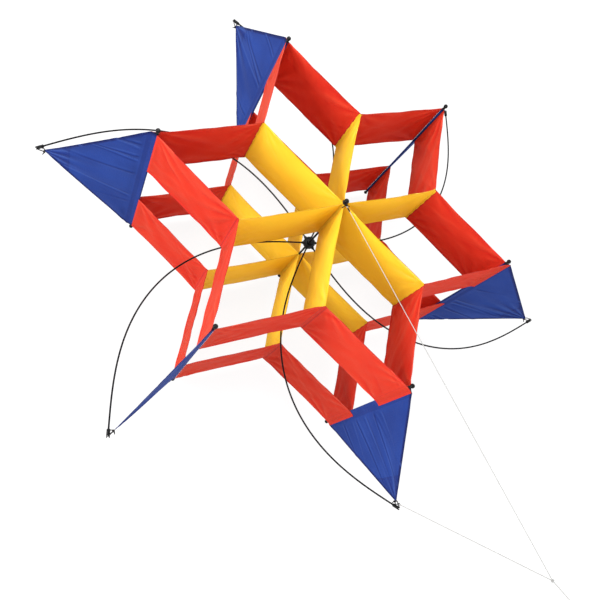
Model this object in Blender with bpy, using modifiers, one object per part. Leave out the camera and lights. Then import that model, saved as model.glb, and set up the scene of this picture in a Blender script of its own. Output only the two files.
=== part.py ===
"""A six-pointed star box kite, standing on its rear caps with its flying face up.

Two bands of cloth, one behind the other, are stretched between a spine and six tip spars.
Seen from the front each band is a six-pointed star: twelve red panels are its outline, and
six yellow spokes join its inner corners to the spine. A blue triangular wing stands outside
each tip, and a bowed rod from a hub on the spine pushes each wing's corner outwards.
A two-leg bridle runs from the front of the spine and from the bottom wing to the flying line.

Units are metres. +Z is the front of the kite, -Y its bottom tip, and the origin is where the
spine's rear cap stands.
"""

import math

import bmesh
import bpy
import numpy as np
from mathutils import Matrix, Vector

# Sail
TIP_RADIUS = 0.330        # spine axis to tip spar axis
INNER_RADIUS = 0.1955     # spine axis to the star's inner corners
SAIL_DEPTH = 0.340        # front edge to rear edge
BAND_WIDTH = 0.116        # width of each cloth band
WING_REACH = 0.504        # spine axis to a wing's outer corner
CLOTH = 0.0006            # cloth thickness
CORNER_WIDTH = 0.006      # blunt end of a wing's outer corner

# Sticks
SPINE_RADIUS = 0.0020
SPAR_RADIUS = 0.0015
BOW_RADIUS = 0.0015
BOW_REACH = 0.518         # spine axis to the loop that holds a bow's end
BOW_ANGLE = math.radians(42.5)   # between a bow's ends and the straight line through them

# Ball caps on the ends of the spine and the spars
CAP_LENGTH = 0.012
CAP_BORE_DEPTH = 0.009
CAP_WALL = 0.0009
CAP_BALL = 0.00135        # how far the ball stands out beyond the cap's skirt
CAP_FLAT = 0.0022         # radius of the flat that a cap stands on

# Hub
HUB_RADIUS = 0.0115
HUB_THICKNESS = 0.0092
HUB_EDGE = 0.0010         # chamfer round the rim
HUB_BOSS = 0.0058         # radius of the boss that guides the hub along the spine
HUB_BOSS_LENGTH = 0.0160
SOCKET_DEPTH = 0.0062
SOCKET_CLEARANCE = 0.00045

# Bow ends and the loops that hold them
NOCK_RADIUS = 0.0030
NOCK_LENGTH = 0.0145
NOCK_BORE_DEPTH = 0.0085
NOCK_SLOT_DEPTH = 0.0045
NOCK_SLOT_WIDTH = 0.0030
NOCK_EDGE = 0.0006        # chamfer at both ends
NOCK_SEAT = 0.0029        # from the nock's tip to the middle of the loop's cord
LOOP_CORD = 0.0007        # radius of the loop's cord
LOOP_HALF_HEIGHT = 0.0048
LOOP_BEND = 0.0022        # radius of the loop's four bends

# Bridle and flying line
LINE_RADIUS = 0.0006
TOW_POINT = (0.0, -0.6257, 0.5205)
LINE_DIRECTION = (0.0, -0.776, 0.631)
LINE_LENGTH = 0.044
END_LOOP_LENGTH = 0.024
END_LOOP_WIDTH = 0.008
TIE_CORD = 0.0009         # radius of the cord in the two ties
TIE_KNOT = 0.0019         # radius of the front tie's knot
TIE_RING = 0.0024         # radius of the bottom tie's ring
FRONT_TIE_UP = 0.0032     # front tie's middle, above the mouth of the cap it is tied round
BOTTOM_TIE_OUT = 0.0068   # bottom tie's middle, beyond the wing's outer corner
TOW_KNOT = 0.0022

# Fits
GAP = 0.0003              # between pieces that touch
TIE_GAP = 0.0007          # between a tie and the leg that swings in it
BORE_CLEARANCE = 0.0003   # round a stick in its sleeve, cap or hub
CUT_PAST = 0.010          # how far a drill reaches beyond the face it opens

# Smoothness
ROUND_SIDES = 16
BOW_POINTS = 33
LINE_POINTS = 13
EYE_POINTS = 28

# Each tip by name, with its angle about the spine, counter-clockwise seen from the front
TIPS = {
    "bottom": -90,
    "lower_right": -30,
    "upper_right": 30,
    "top": 90,
    "upper_left": 150,
    "lower_left": 210,
}
STAR_STEP = math.radians(30)   # from a tip of the star to the inner corner beside it

# Worked out from the sizes above
SAIL_REAR = CAP_LENGTH + GAP
SAIL_FRONT = SAIL_REAR + SAIL_DEPTH
HEIGHT = SAIL_FRONT + GAP + CAP_LENGTH
MIDDLE = HEIGHT / 2
SLEEVE_BORE = SPAR_RADIUS + BORE_CLEARANCE
SLEEVE_RADIUS = SLEEVE_BORE + CLOTH
SPINE_SLEEVE_BORE = SPINE_RADIUS + BORE_CLEARANCE
SPINE_SLEEVE_RADIUS = SPINE_SLEEVE_BORE + CLOTH
SPINE_CAP_SKIRT = SPINE_RADIUS + BORE_CLEARANCE + CAP_WALL
SOCKET_START = HUB_RADIUS - SOCKET_DEPTH
PIVOT_RADIUS = HUB_RADIUS - SOCKET_DEPTH / 2


# ---------------------------------------------------------------- scene and materials

for old in list(bpy.data.objects):
    bpy.data.objects.remove(old)

kite = bpy.data.collections.new("star_box_kite")
cutters = bpy.data.collections.new("cutters")
bpy.context.scene.collection.children.link(kite)
bpy.context.scene.collection.children.link(cutters)


def material(name, color, roughness, metallic=0.0):
    made = bpy.data.materials.new(name)
    made.use_nodes = True
    shader = made.node_tree.nodes["Principled BSDF"]
    shader.inputs["Base Color"].default_value = (*color, 1.0)
    shader.inputs["Roughness"].default_value = roughness
    shader.inputs["Metallic"].default_value = metallic
    return made


red_cloth = material("red_cloth", (0.80, 0.04, 0.02), 0.55)
yellow_cloth = material("yellow_cloth", (0.98, 0.62, 0.03), 0.55)
blue_cloth = material("blue_cloth", (0.03, 0.06, 0.36), 0.50)
black_rod = material("black_rod", (0.015, 0.015, 0.017), 0.35)
black_vinyl = material("black_vinyl", (0.02, 0.02, 0.02), 0.50)
black_cord = material("black_cord", (0.025, 0.025, 0.025), 0.80)
white_line = material("white_line", (0.82, 0.82, 0.80), 0.60)


# ---------------------------------------------------------------- modelling helpers

def add(name, data, finish, collection=kite):
    """A new object made of this mesh or curve."""
    obj = bpy.data.objects.new(name, data)
    collection.objects.link(obj)
    if finish and not data.materials:
        data.materials.append(finish)
    return obj


def empty(name, location, angle=0.0):
    """A parent for pieces that turn about one point."""
    made = bpy.data.objects.new(name, None)
    made.empty_display_size = 0.02
    made.location = location
    made.rotation_euler.z = angle
    kite.objects.link(made)
    return made


def smooth(mesh):
    mesh.shade_smooth()
    mesh.set_sharp_from_angle(angle=math.radians(35))
    return mesh


def cylinder_mesh(name, radius, bottom, top, sides=ROUND_SIDES, turn=None):
    """A closed cylinder about Z, or about Z turned by a matrix."""
    made = bmesh.new()
    lift = Matrix.Translation((0, 0, (bottom + top) / 2))
    where = (turn or Matrix.Identity(4)) @ lift
    bmesh.ops.create_cone(
        made, cap_ends=True, segments=sides, radius1=radius, radius2=radius, depth=top - bottom, matrix=where
    )
    mesh = bpy.data.meshes.new(name)
    made.to_mesh(mesh)
    made.free()
    return smooth(mesh)


def cutter(name, mesh):
    obj = add(name, mesh, None, cutters)
    obj.hide_render = True
    obj.display_type = "WIRE"
    return obj


def boolean(obj, other, operation):
    modifier = obj.modifiers.new(operation.lower(), "BOOLEAN")
    modifier.operation = operation
    modifier.solver = "EXACT"
    modifier.object = other


def evaluated_mesh(obj, name):
    """The object's shape with its modifiers or its bevel made real and its caps welded."""
    bpy.context.view_layer.update()
    graph = bpy.context.evaluated_depsgraph_get()
    mesh = bpy.data.meshes.new_from_object(obj.evaluated_get(graph))
    mesh.name = name
    welded = bmesh.new()
    welded.from_mesh(mesh)
    bmesh.ops.remove_doubles(welded, verts=welded.verts, dist=1e-7)
    welded.to_mesh(mesh)
    welded.free()
    return smooth(mesh)


def take_mesh(obj, name):
    """Ends an object that was only a step on the way, and gives its finished mesh."""
    mesh = evaluated_mesh(obj, name)
    bpy.data.objects.remove(obj)
    return mesh


def turned_mesh(name, profile, sides=ROUND_SIDES):
    """A profile of (radius, height) points turned about Z. It runs up its inner side and down its outer one."""
    made = bmesh.new()
    points = [made.verts.new((radius, 0, height)) for radius, height in profile]
    for first, second in zip(points, points[1:]):
        made.edges.new((first, second))
    mesh = bpy.data.meshes.new(name)
    made.to_mesh(mesh)
    made.free()
    obj = add(name + "_profile", mesh, None)
    screw = obj.modifiers.new("turn", "SCREW")
    screw.steps = sides
    screw.render_steps = sides
    screw.use_merge_vertices = True
    screw.merge_threshold = 0.00001
    return take_mesh(obj, name)


def wire(name, points, radius, finish, closed=False, sides=2):
    """A round bar or cord along these points, with filled ends."""
    curve = bpy.data.curves.new(name, "CURVE")
    curve.dimensions = "3D"
    curve.bevel_depth = radius
    curve.bevel_resolution = sides
    curve.use_fill_caps = not closed
    spline = curve.splines.new("POLY")
    spline.points.add(len(points) - 1)
    for point, place in zip(spline.points, points):
        point.co = (*place, 1.0)
    spline.use_cyclic_u = closed
    return add(name, curve, finish)


def flat_mesh(name, outlines, thickness):
    """Closed outlines in the XY plane, the second one a hole, filled and made this thick."""
    curve = bpy.data.curves.new(name, "CURVE")
    curve.dimensions = "2D"
    curve.fill_mode = "BOTH"
    curve.extrude = thickness / 2
    for outline in outlines:
        spline = curve.splines.new("POLY")
        spline.points.add(len(outline) - 1)
        for point, (x, y) in zip(spline.points, outline):
            point.co = (x, y, 0.0, 1.0)
        spline.use_cyclic_u = True
    return take_mesh(add(name + "_outline", curve, None), name)


def around(radius, angle):
    return (radius * math.cos(angle), radius * math.sin(angle))


# ---------------------------------------------------------------- ball caps

def cap_mesh(name, stick_radius):
    """A cap standing on its ball's flat, with its mouth up."""
    bore = stick_radius + BORE_CLEARANCE
    skirt = bore + CAP_WALL
    ball = max(skirt, CAP_FLAT) + CAP_BALL
    centre = math.sqrt(ball**2 - CAP_FLAT**2)
    shoulder = math.acos(skirt / ball)
    foot = -math.acos(CAP_FLAT / ball)
    arc = [around(ball, angle) for angle in np.linspace(shoulder, foot, 8)]
    inside = [(0, CAP_LENGTH - CAP_BORE_DEPTH), (bore, CAP_LENGTH - CAP_BORE_DEPTH), (bore, CAP_LENGTH)]
    outside = [(skirt, CAP_LENGTH)] + [(radius, centre + height) for radius, height in arc]
    return turned_mesh(name, inside + outside + [(0, 0)], sides=12)


spar_cap = cap_mesh("spar_cap", SPAR_RADIUS)
spine_cap = cap_mesh("spine_cap", SPINE_RADIUS)


def caps(rear_name, front_name, mesh, x=0.0, y=0.0):
    """The pair of caps on one stick, the front one turned over."""
    rear = add(rear_name, mesh, black_vinyl)
    rear.location = (x, y, 0)
    front = add(front_name, mesh, black_vinyl)
    front.location = (x, y, HEIGHT)
    front.rotation_euler.x = math.pi


# ---------------------------------------------------------------- spine, tip spars

STICK_END = CAP_LENGTH - CAP_BORE_DEPTH + GAP

add("spine", cylinder_mesh("spine", SPINE_RADIUS, STICK_END, HEIGHT - STICK_END), black_rod)
caps("spine_rear_cap", "spine_front_cap", spine_cap)

spar_mesh = cylinder_mesh("tip_spar", SPAR_RADIUS, STICK_END, HEIGHT - STICK_END, sides=12)
for tip, degrees in TIPS.items():
    x, y = around(TIP_RADIUS, math.radians(degrees))
    spar = add("tip_spar_" + tip, spar_mesh, black_rod)
    spar.location = (x, y, 0)
    caps("rear_cap_" + tip, "front_cap_" + tip, spar_cap, x, y)


# ---------------------------------------------------------------- star bands

def star_band(name, bottom):
    """The closed outline of the star as one folded wall of cloth, just inside the wing sleeves."""
    half_point = math.atan2(INNER_RADIUS * math.sin(STAR_STEP), TIP_RADIUS - INNER_RADIUS * math.cos(STAR_STEP))
    fold = CLOTH / 2 / math.sin(half_point)
    tip = TIP_RADIUS - SLEEVE_RADIUS - GAP - fold
    wall = bmesh.new()
    corners = []
    for step in range(12):
        radius = INNER_RADIUS if step % 2 else tip
        corners.append(wall.verts.new((*around(radius, STAR_STEP * (step + 1)), bottom)))
    for step in range(12):
        wall.edges.new((corners[step], corners[(step + 1) % 12]))
    raised = bmesh.ops.extrude_edge_only(wall, edges=wall.edges[:])
    top = [piece for piece in raised["geom"] if isinstance(piece, bmesh.types.BMVert)]
    bmesh.ops.translate(wall, verts=top, vec=(0, 0, BAND_WIDTH))
    bmesh.ops.recalc_face_normals(wall, faces=wall.faces)
    mesh = bpy.data.meshes.new(name)
    wall.to_mesh(mesh)
    wall.free()
    band = add(name, mesh, red_cloth)
    solid = band.modifiers.new("thickness", "SOLIDIFY")
    solid.thickness = CLOTH
    solid.offset = 0.0
    solid.use_even_offset = True


star_band("rear_star_band", SAIL_REAR)
star_band("front_star_band", SAIL_FRONT - BAND_WIDTH)


# ---------------------------------------------------------------- spoke webs

def spoke_outline():
    """Six arms of cloth round the spine's sleeve, each ending short of the band's inner corner."""
    root = math.asin(CLOTH / 2 / SPINE_SLEEVE_RADIUS)
    end = INNER_RADIUS - CLOTH - GAP
    outline = []
    for arm in range(6):
        angle = 2 * STAR_STEP * arm
        for side in (-1, 1):
            x, y = (end, side * CLOTH / 2)
            corner = (x * math.cos(angle) - y * math.sin(angle), x * math.sin(angle) + y * math.cos(angle))
            start = around(SPINE_SLEEVE_RADIUS, angle + side * root)
            outline += [start, corner] if side < 0 else [corner, start]
        outline.append(around(SPINE_SLEEVE_RADIUS, angle + STAR_STEP))
    return outline


sleeve_hole = [around(SPINE_SLEEVE_BORE, 2 * math.pi * step / 24) for step in range(24)]
web_mesh = flat_mesh("spoke_web", [spoke_outline(), sleeve_hole], BAND_WIDTH)
rear_web = add("rear_spoke_web", web_mesh, yellow_cloth)
rear_web.location.z = SAIL_REAR + BAND_WIDTH / 2
front_web = add("front_spoke_web", web_mesh, yellow_cloth)
front_web.location.z = SAIL_FRONT - BAND_WIDTH / 2


# ---------------------------------------------------------------- wings

def wing_mesh():
    """A triangle of cloth beyond its tip spar, with a sleeve on the spar along its whole inner edge.

    It is made at the spine, reaching along +X, and the sleeve's axis is at TIP_RADIUS."""
    half = SAIL_DEPTH / 2
    corner = CORNER_WIDTH / 2
    outline = [(TIP_RADIUS, -half), (WING_REACH, -corner), (WING_REACH, corner), (TIP_RADIUS, half)]
    panel = flat_mesh("wing_panel", [outline], CLOTH)
    panel.transform(Matrix.Rotation(math.pi / 2, 4, "X"))
    wing = add("wing_panel", panel, None)
    at_spar = Matrix.Translation((TIP_RADIUS, 0, 0))
    sleeve = cylinder_mesh("wing_sleeve", SLEEVE_RADIUS, -half, half, sides=16, turn=at_spar)
    bore = cylinder_mesh("wing_bore", SLEEVE_BORE, -half - CUT_PAST, half + CUT_PAST, sides=16, turn=at_spar)
    boolean(wing, cutter("wing_sleeve", sleeve), "UNION")
    boolean(wing, cutter("wing_bore", bore), "DIFFERENCE")
    return take_mesh(wing, "wing")


wing_shape = wing_mesh()
for tip, degrees in TIPS.items():
    wing = add("wing_" + tip, wing_shape, blue_cloth)
    wing.location.z = MIDDLE
    wing.rotation_euler.z = math.radians(degrees)


# ---------------------------------------------------------------- hub

def hub_mesh():
    """A disc with a boss along the spine, a bore for it and six blind sockets in its rim."""
    half = HUB_THICKNESS / 2
    boss = HUB_BOSS_LENGTH / 2
    bore = SPINE_RADIUS + BORE_CLEARANCE
    upper = [
        (bore, boss),
        (HUB_BOSS - HUB_EDGE / 2, boss),
        (HUB_BOSS, boss - HUB_EDGE / 2),
        (HUB_BOSS, half),
        (HUB_RADIUS - HUB_EDGE, half),
        (HUB_RADIUS, half - HUB_EDGE),
    ]
    lower = [(radius, -height) for radius, height in reversed(upper)]
    profile = upper + lower + [(bore, boss)]
    hub = add("hub_body", turned_mesh("hub_body", profile, sides=36), None)
    drill = bmesh.new()
    for degrees in TIPS.values():
        angle = math.radians(degrees) - BOW_ANGLE
        outwards = Matrix.Rotation(angle, 4, "Z") @ Matrix.Rotation(math.pi / 2, 4, "Y")
        length = SOCKET_DEPTH + CUT_PAST
        start = Matrix.Translation((0, 0, SOCKET_START + length / 2))
        bmesh.ops.create_cone(
            drill, cap_ends=True, segments=12, radius1=BOW_RADIUS + SOCKET_CLEARANCE,
            radius2=BOW_RADIUS + SOCKET_CLEARANCE, depth=length, matrix=outwards @ start,
        )
    drills = bpy.data.meshes.new("socket_drills")
    drill.to_mesh(drills)
    drill.free()
    boolean(hub, cutter("socket_drills", drills), "DIFFERENCE")
    return take_mesh(hub, "hub")


hub = add("hub", hub_mesh(), black_vinyl)
hub.location.z = MIDDLE


# ---------------------------------------------------------------- bow rods and their nocks

def bow_line():
    """The bowed stick from the spine axis to its outer end, lying along +X, as (along, points).

    A thin stick pressed between two pivots turns by the cosine of its length: from -BOW_ANGLE
    at one end, through straight in the middle, to +BOW_ANGLE at the other."""
    steps = 400
    share = (np.arange(steps) + 0.5) / steps
    turn = -BOW_ANGLE * np.cos(math.pi * share)
    length = BOW_REACH / np.cos(turn).mean()
    x = np.concatenate([[0], np.cumsum(np.cos(turn))]) * length / steps
    y = np.concatenate([[0], np.cumsum(np.sin(turn))]) * length / steps
    return np.linspace(0, length, steps + 1), np.column_stack([x, y])


def nock_mesh():
    """A sleeve along +X with the stick's bore at one end and an upright slot for the loop at the other.

    The origin is where the loop's cord crosses the slot."""
    bore = BOW_RADIUS + BORE_CLEARANCE
    profile = [
        (0, -NOCK_LENGTH + NOCK_BORE_DEPTH),
        (bore, -NOCK_LENGTH + NOCK_BORE_DEPTH),
        (bore, -NOCK_LENGTH),
        (NOCK_RADIUS - NOCK_EDGE, -NOCK_LENGTH),
        (NOCK_RADIUS, -NOCK_LENGTH + NOCK_EDGE),
        (NOCK_RADIUS, -NOCK_EDGE),
        (NOCK_RADIUS - NOCK_EDGE, 0),
        (0, 0),
    ]
    nock = add("nock_body", turned_mesh("nock_body", profile[::-1], sides=16), None)
    slot = bmesh.new()
    size = Matrix.Diagonal((NOCK_SLOT_WIDTH, 4 * NOCK_RADIUS, 2 * NOCK_SLOT_DEPTH, 1))
    bmesh.ops.create_cube(slot, size=1.0, matrix=size)
    slot_mesh = bpy.data.meshes.new("nock_slot")
    slot.to_mesh(slot_mesh)
    slot.free()
    boolean(nock, cutter("nock_slot", slot_mesh), "DIFFERENCE")
    mesh = take_mesh(nock, "nock")
    mesh.transform(Matrix.Rotation(math.radians(120), 4, Vector((1, 1, 1))))
    mesh.transform(Matrix.Translation((NOCK_SEAT, 0, 0)))
    return mesh


along, bow_points = bow_line()
stick_start = SOCKET_START + GAP
stick_end = along[-1] + NOCK_SEAT - NOCK_LENGTH + NOCK_BORE_DEPTH - GAP
stick = np.linspace(stick_start, stick_end, BOW_POINTS)
stick_xy = np.column_stack([np.interp(stick, along, bow_points[:, 0]), np.interp(stick, along, bow_points[:, 1])])
pivot_xy = np.array(around(PIVOT_RADIUS, -BOW_ANGLE))
nock_shape = nock_mesh()

for tip, degrees in TIPS.items():
    angle = math.radians(degrees)
    spot = Matrix.Rotation(angle, 3, "Z") @ Vector((*pivot_xy, 0))
    pivot = empty("bow_pivot_" + tip, (spot.x, spot.y, MIDDLE), angle)
    bow = wire("bow_rod_" + tip, [(*point, 0) for point in stick_xy - pivot_xy], BOW_RADIUS, black_rod)
    bow.parent = pivot
    nock = add("bow_end_" + tip, nock_shape, black_vinyl)
    nock.parent = pivot
    nock.location = (BOW_REACH - pivot_xy[0], -pivot_xy[1], 0)
    nock.rotation_euler.z = BOW_ANGLE


# ---------------------------------------------------------------- corner loops

LOOP_INNER = WING_REACH + LOOP_CORD + GAP


def loop_points():
    """A long loop standing in the wing's plane, from the wing's corner to the nock's slot."""
    points = []
    ends = ((BOW_REACH, 1), (BOW_REACH, -1), (LOOP_INNER, -1), (LOOP_INNER, 1))
    turns = (0, -90, -180, -270)
    for (x, up), turn in zip(ends, turns):
        side = 1 if x == BOW_REACH else -1
        centre = (x - side * LOOP_BEND, up * (LOOP_HALF_HEIGHT - LOOP_BEND))
        for degrees in np.linspace(90 + turn, turn, 5):
            dx, dz = around(LOOP_BEND, math.radians(degrees))
            points.append((centre[0] + dx, 0, centre[1] + dz))
    return points


for tip, degrees in TIPS.items():
    loop = wire("corner_loop_" + tip, loop_points(), LOOP_CORD, black_cord, closed=True, sides=1)
    loop.location.z = MIDDLE
    loop.rotation_euler.z = math.radians(degrees)


# ---------------------------------------------------------------- bridle ties

def ring_mesh(name, ring_radius, cord_radius, around_sides, cord_sides):
    """A ring of cord about Z."""
    circle = [(ring_radius + x, y) for x, y in
              (around(cord_radius, -2 * math.pi * step / cord_sides) for step in range(cord_sides + 1))]
    return turned_mesh(name, circle, sides=around_sides)


NECK_HEIGHT = HEIGHT - CAP_LENGTH + FRONT_TIE_UP
RING_RADIUS = SPINE_CAP_SKIRT + GAP + TIE_CORD
front_knot = Vector((0, -RING_RADIUS - TIE_KNOT / 2, NECK_HEIGHT))
tow_point = Vector(TOW_POINT)

front_tie = add("bridle_front_tie", ring_mesh("bridle_front_tie", RING_RADIUS, TIE_CORD, 20, 8), black_cord)
front_tie.location.z = NECK_HEIGHT
knot = bmesh.new()
bmesh.ops.create_uvsphere(knot, u_segments=12, v_segments=8, radius=TIE_KNOT, matrix=Matrix.Translation(front_knot))
knot_mesh = bpy.data.meshes.new("front_tie_knot")
knot.to_mesh(knot_mesh)
knot.free()
boolean(front_tie, cutter("front_tie_knot", knot_mesh), "UNION")

ring_centre = Vector((0, -(WING_REACH + BOTTOM_TIE_OUT), MIDDLE + LOOP_HALF_HEIGHT))
bottom_tie = add("bridle_bottom_tie", ring_mesh("bridle_bottom_tie", TIE_RING, TIE_CORD, 16, 8), black_cord)
bottom_tie.location = ring_centre
bottom_tie.rotation_euler.x = math.pi / 2


# ---------------------------------------------------------------- bridle and flying line

upper_start = front_knot + (tow_point - front_knot).normalized() * (TIE_KNOT + TIE_GAP)
lower_start = ring_centre + (tow_point - ring_centre).normalized() * (TIE_RING + TIE_CORD + TIE_GAP)


def line_between(name, start, end, origin):
    """A taut stretch of line, with its object's origin where its body turns."""
    places = [start.lerp(end, step / (LINE_POINTS - 1)) - origin for step in range(LINE_POINTS)]
    line = wire(name, places, LINE_RADIUS, white_line)
    line.location = origin
    return line


def short_of_knot(start):
    return tow_point + (start - tow_point).normalized() * (TOW_KNOT + GAP)


line_between("bridle_upper_leg", upper_start, short_of_knot(upper_start), upper_start)
line_between("bridle_lower_leg", lower_start, short_of_knot(lower_start), upper_start)

ball = bmesh.new()
bmesh.ops.create_uvsphere(ball, u_segments=12, v_segments=8, radius=TOW_KNOT)
ball_mesh = bpy.data.meshes.new("tow_knot")
ball.to_mesh(ball_mesh)
ball.free()
tow_knot = add("tow_knot", smooth(ball_mesh), white_line)
tow_knot.location = tow_point

line_way = Vector(LINE_DIRECTION).normalized()
line_start = tow_point + line_way * (TOW_KNOT + GAP)
line_end = tow_point + line_way * LINE_LENGTH
line_between("flying_line", line_start, line_end, tow_point)

loop_start = line_end + line_way * (GAP + LINE_RADIUS)
across = Vector((1, 0, 0))
eye = []
for step in range(EYE_POINTS):
    turn = 2 * math.pi * step / EYE_POINTS
    reach = END_LOOP_LENGTH / 2 * (1 - math.cos(turn))
    width = END_LOOP_WIDTH / 2 * math.sin(turn)
    eye.append(loop_start + line_way * reach + across * width - tow_point)
end_loop = wire("flying_line_loop", eye, LINE_RADIUS, white_line, closed=True)
end_loop.location = tow_point
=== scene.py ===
"""The finish of a six-pointed star box kite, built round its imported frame.

The file follows the kite as it is put together: the camera that sees it, its lines, its sticks
and caps, the sewn cloth, the hub with its bowed rods, and the cord fittings. Units are metres.
+Z is the front of the kite and -Y its bottom tip.
"""

import math

import bpy
import numpy as np
from mathutils import Matrix, Vector


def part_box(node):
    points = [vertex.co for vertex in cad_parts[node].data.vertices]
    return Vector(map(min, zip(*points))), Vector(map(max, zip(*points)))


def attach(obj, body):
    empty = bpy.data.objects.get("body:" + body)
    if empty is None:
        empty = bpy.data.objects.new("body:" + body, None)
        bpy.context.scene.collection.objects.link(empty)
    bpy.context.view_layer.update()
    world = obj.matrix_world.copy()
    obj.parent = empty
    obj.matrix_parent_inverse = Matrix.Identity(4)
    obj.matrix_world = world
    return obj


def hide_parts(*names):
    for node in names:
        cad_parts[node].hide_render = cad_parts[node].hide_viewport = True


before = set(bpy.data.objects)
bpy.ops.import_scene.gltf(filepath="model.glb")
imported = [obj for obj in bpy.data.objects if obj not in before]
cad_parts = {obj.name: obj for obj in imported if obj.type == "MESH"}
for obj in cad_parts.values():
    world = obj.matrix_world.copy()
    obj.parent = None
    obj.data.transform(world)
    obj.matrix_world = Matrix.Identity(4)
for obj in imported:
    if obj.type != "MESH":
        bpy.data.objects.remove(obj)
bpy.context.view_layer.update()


# ---------------------------------------------------------------- camera
# The kite stands on its rear caps. It is seen from well in front of it, a little below and to
# the left, with the top wing leaning left and the flying line leaving at the lower right.

lens = 39.31
camera_place = Vector((-0.5716, -0.3770, 1.2647))
looking = Vector((0.4192, 0.2187, -0.8812)).normalized()
leaning_up = Vector((0.1908, 0.9277, 0.3210))

camera = bpy.data.objects.new("camera", bpy.data.cameras.new("camera"))
camera.data.lens = lens
camera.data.sensor_width = 36.0
to_the_right = looking.cross(leaning_up).normalized()
turned_to_kite = Matrix((to_the_right, to_the_right.cross(looking), -looking)).transposed()
camera.matrix_world = Matrix.Translation(camera_place) @ turned_to_kite.to_4x4()
bpy.context.scene.collection.objects.link(camera)
bpy.context.scene.camera = camera


# ---------------------------------------------------------------- bridle legs and flying line
# White braided polyester line, 1.2 mm thick. The two legs are knotted to the kite's front and to
# its bottom wing, and meet at the tow knot, where the flying line starts with its looped end.

line_radius = 0.0006
line_sides = 16
tow_point = np.array([0.0, -0.6257, 0.5205])
upper_leg_start = np.array([0.0, -0.007863, 0.356467])
lower_leg_start = np.array([0.0, -0.512103, 0.190882])
line_direction = np.array([0.0, -0.775875, 0.630887])
knot_reach = 0.0025        # from the tow knot's middle to where the lines leave it
line_end = 0.0440          # from there to the end loop
braid_pitch = 0.0030
end_loop_length = 0.024
end_loop_width = 0.008


def unit(vectors):
    """Each vector divided by its own length."""
    return vectors / np.linalg.norm(vectors, axis=-1, keepdims=True)


def run_of(points, closed=False):
    """Distance along a row of points, from nought at the first; a closed row comes back to it."""
    if closed:
        points = np.concatenate([points, points[:1]])
    steps = np.linalg.norm(np.diff(points, axis=0), axis=-1)
    return np.concatenate([np.zeros((1, *steps.shape[1:])), np.cumsum(steps, axis=0)])


def sweep(path, radius, out, sides=24, closed=False):
    """A round bar along a path: at each point of the path stands a ring of points, square to the
    path and radius away from it, which starts on the side that the direction out points to."""
    path = np.asarray(path, float)
    ahead, behind = np.roll(path, -1, axis=0), np.roll(path, 1, axis=0)
    if not closed:
        ahead[-1], behind[0] = path[-1], path[0]
    along = unit(ahead - behind)
    out = np.broadcast_to(np.asarray(out, float), path.shape)
    first = unit(out - (out * along).sum(1, keepdims=True) * along)
    second = np.cross(along, first)
    turn = 2 * math.pi * np.arange(sides) / sides
    spokes = first[:, None] * np.cos(turn)[:, None] + second[:, None] * np.sin(turn)[:, None]
    radius = np.asarray(radius, float)
    radius = np.broadcast_to(radius.reshape(len(np.atleast_1d(radius)), -1), (len(path), sides))
    points = path[:, None] + spokes * radius[..., None]
    girth = 2 * math.pi * radius.mean() * np.arange(sides + 1) / sides
    uv = np.stack(np.meshgrid(run_of(path, closed), girth, indexing="ij"), axis=-1)
    return {"points": points, "uv": uv, "closed": closed}


def skin(name, patches, finish, body, stands_for=None, sharp=80):
    """One mesh of closed patches, riding on a body. A patch is rows of rings, and quads join each
    point to its neighbours in the ring and in the next ring. The first and last rings are closed
    by quads from side to side, unless the rows close on each other. Edges sharper than a number
    of degrees stay crisp."""
    places, faces, uvs, base = [], [], [], 0
    marks = {"layers": [], "fold": []}
    for patch in patches:
        points = patch["points"]
        if points.ndim == 3:
            points = points[None]
        copies, rows, ring = points.shape[:3]
        last = rows if patch["closed"] else rows - 1
        i, j = np.meshgrid(np.arange(last), np.arange(ring), indexing="ij")
        down, across = np.stack([i, i, i + 1, i + 1], -1), np.stack([j, j + 1, j + 1, j], -1)
        down, across = down.reshape(-1, 4), across.reshape(-1, 4)
        if not patch["closed"]:
            k = np.arange(ring // 2 - 1)
            lid = np.stack([k, k + 1, ring - 2 - k, ring - 1 - k], -1)
            down = np.concatenate([down, np.full_like(lid, rows - 1), np.zeros_like(lid)])
            across = np.concatenate([across, lid, lid[:, ::-1]])
        one = (down % rows) * ring + across % ring
        shift = rows * ring * np.arange(copies)
        faces.append((base + one[None] + shift[:, None, None]).reshape(-1, 4))
        uvs.append(np.tile(patch["uv"][down, across], (copies, 1, 1)))
        for mark, values in marks.items():
            values.append(np.broadcast_to(patch.get(mark, 0.0), points.shape[:3]).ravel())
        places.append(points.reshape(-1, 3))
        base += points.size // 3
    mesh = bpy.data.meshes.new(name)
    mesh.from_pydata(np.concatenate(places), [], np.concatenate(faces))
    mesh.uv_layers.new(name="cloth").data.foreach_set("uv", np.concatenate(uvs).astype(np.float32).ravel())
    for mark, values in marks.items():
        written = mesh.attributes.new(mark, "FLOAT", "POINT")
        written.data.foreach_set("value", np.concatenate(values).astype(np.float32))
    mesh.shade_smooth()
    mesh.set_sharp_from_angle(angle=math.radians(sharp))
    mesh.materials.append(finish)
    obj = bpy.data.objects.new(name, mesh)
    bpy.context.scene.collection.objects.link(obj)
    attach(obj, body)
    if stands_for:
        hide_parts(stands_for)
    return obj


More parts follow.
